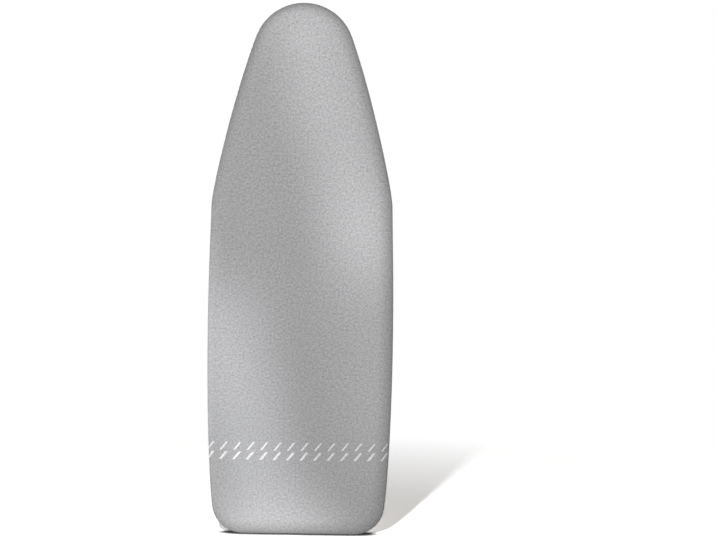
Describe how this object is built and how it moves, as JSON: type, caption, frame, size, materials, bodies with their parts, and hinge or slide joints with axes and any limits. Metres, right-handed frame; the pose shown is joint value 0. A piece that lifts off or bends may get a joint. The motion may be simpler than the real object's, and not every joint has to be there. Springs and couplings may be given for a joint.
{
  "type": "ironing board cover",
  "caption": "Padded ironing board cover in the shape it takes on its board: rounded nose, soft rolled edge, elastic hem turned under and clip-on elastic straps across the open underside.",
  "frame": {"origin": "on the inner face of the padding, where the board's top bears, half way along the board and on its centreline", "axes": "+Z along the board to the nose, +Y from the ironing face to the underside, +X to the right as seen from the ironing face"},
  "size_m": [0.4536, 0.0494, 1.3036],
  "materials": {
    "metallised_cotton": "silver-grey metallised cotton cloth",
    "foam": "open-cell foam",
    "needled_felt": "needled felt",
    "cotton_tape": "woven cotton tape",
    "rubber_elastic": "knitted elastic",
    "elastic_webbing": "ribbed elastic webbing",
    "white_nylon": "moulded nylon",
    "nickel_plate": "nickel-plated stamped steel",
    "soft_vinyl": "soft moulded vinyl"
  },
  "bodies": {
    "cover": {"face_cloth": "metallised_cotton", "foam_pad": "foam", "felt_underlay": "needled_felt", "hem_elastic": "rubber_elastic", "skirt_nose": "metallised_cotton", "binding_nose": "cotton_tape", "skirt_taper_right": "metallised_cotton", "binding_taper_right": "cotton_tape", "skirt_upper_right": "metallised_cotton", "binding_upper_right": "cotton_tape", "skirt_lower_right": "metallised_cotton", "binding_lower_right": "cotton_tape", "skirt_corner_right": "metallised_cotton", "binding_corner_right": "cotton_tape", "skirt_tail": "metallised_cotton", "binding_tail": "cotton_tape", "skirt_corner_left": "metallised_cotton", "binding_corner_left": "cotton_tape", "skirt_lower_left": "metallised_cotton", "binding_lower_left": "cotton_tape", "skirt_upper_left": "metallised_cotton", "binding_upper_left": "cotton_tape", "skirt_taper_left": "metallised_cotton", "binding_taper_left": "cotton_tape", "strap_tail": "elastic_webbing", "clip_base_tail_left": "nickel_plate", "clip_grip_tail_left": "soft_vinyl", "clip_pin_tail_left": "nickel_plate", "clip_base_tail_right": "nickel_plate", "clip_grip_tail_right": "soft_vinyl", "clip_pin_tail_right": "nickel_plate", "strap_middle": "elastic_webbing", "clip_base_middle_left": "nickel_plate", "clip_grip_middle_left": "soft_vinyl", "clip_pin_middle_left": "nickel_plate", "clip_base_middle_right": "nickel_plate", "clip_grip_middle_right": "soft_vinyl", "clip_pin_middle_right": "nickel_plate", "strap_nose": "elastic_webbing", "clip_base_nose_left": "nickel_plate", "clip_grip_nose_left": "soft_vinyl", "clip_pin_nose_left": "nickel_plate", "clip_base_nose_right": "nickel_plate", "clip_grip_nose_right": "soft_vinyl", "clip_pin_nose_right": "nickel_plate"},
    "slider_tail": {"slider_tail": "white_nylon"},
    "lever_tail_left": {"clip_lever_tail_left": "nickel_plate"},
    "lever_tail_right": {"clip_lever_tail_right": "nickel_plate"},
    "slider_middle": {"slider_middle": "white_nylon"},
    "lever_middle_left": {"clip_lever_middle_left": "nickel_plate"},
    "lever_middle_right": {"clip_lever_middle_right": "nickel_plate"},
    "slider_nose": {"slider_nose": "white_nylon"},
    "lever_nose_left": {"clip_lever_nose_left": "nickel_plate"},
    "lever_nose_right": {"clip_lever_nose_right": "nickel_plate"}
  },
  "joints": [
    {"name": "slider_tail_slide", "type": "slide", "parent": "cover", "child": "slider_tail", "axis": [1, 0, 0], "range_m": [-0.045, 0.045]},
    {"name": "lever_tail_left_hinge", "type": "hinge", "parent": "cover", "child": "lever_tail_left", "pos_m": [-0.17106, 0.03365, -0.45], "axis": [0, 0, 1], "range_deg": [0, 95]},
    {"name": "lever_tail_right_hinge", "type": "hinge", "parent": "cover", "child": "lever_tail_right", "pos_m": [0.17106, 0.03365, -0.45], "axis": [0, 0, -1], "range_deg": [0, 95]},
    {"name": "slider_middle_slide", "type": "slide", "parent": "cover", "child": "slider_middle", "axis": [1, 0, 0], "range_m": [-0.045, 0.045]},
    {"name": "lever_middle_left_hinge", "type": "hinge", "parent": "cover", "child": "lever_middle_left", "pos_m": [-0.17671, 0.03365, -0.17], "axis": [0, 0, 1], "range_deg": [0, 95]},
    {"name": "lever_middle_right_hinge", "type": "hinge", "parent": "cover", "child": "lever_middle_right", "pos_m": [0.17671, 0.03365, -0.17], "axis": [0, 0, -1], "range_deg": [0, 95]},
    {"name": "slider_nose_slide", "type": "slide", "parent": "cover", "child": "slider_nose", "axis": [1, 0, 0], "range_m": [-0.045, 0.045]},
    {"name": "lever_nose_left_hinge", "type": "hinge", "parent": "cover", "child": "lever_nose_left", "pos_m": [-0.17184, 0.03365, 0.11], "axis": [0, 0, 1], "range_deg": [0, 95]},
    {"name": "lever_nose_right_hinge", "type": "hinge", "parent": "cover", "child": "lever_nose_right", "pos_m": [0.17184, 0.03365, 0.11], "axis": [0, 0, -1], "range_deg": [0, 95]}
  ]
}
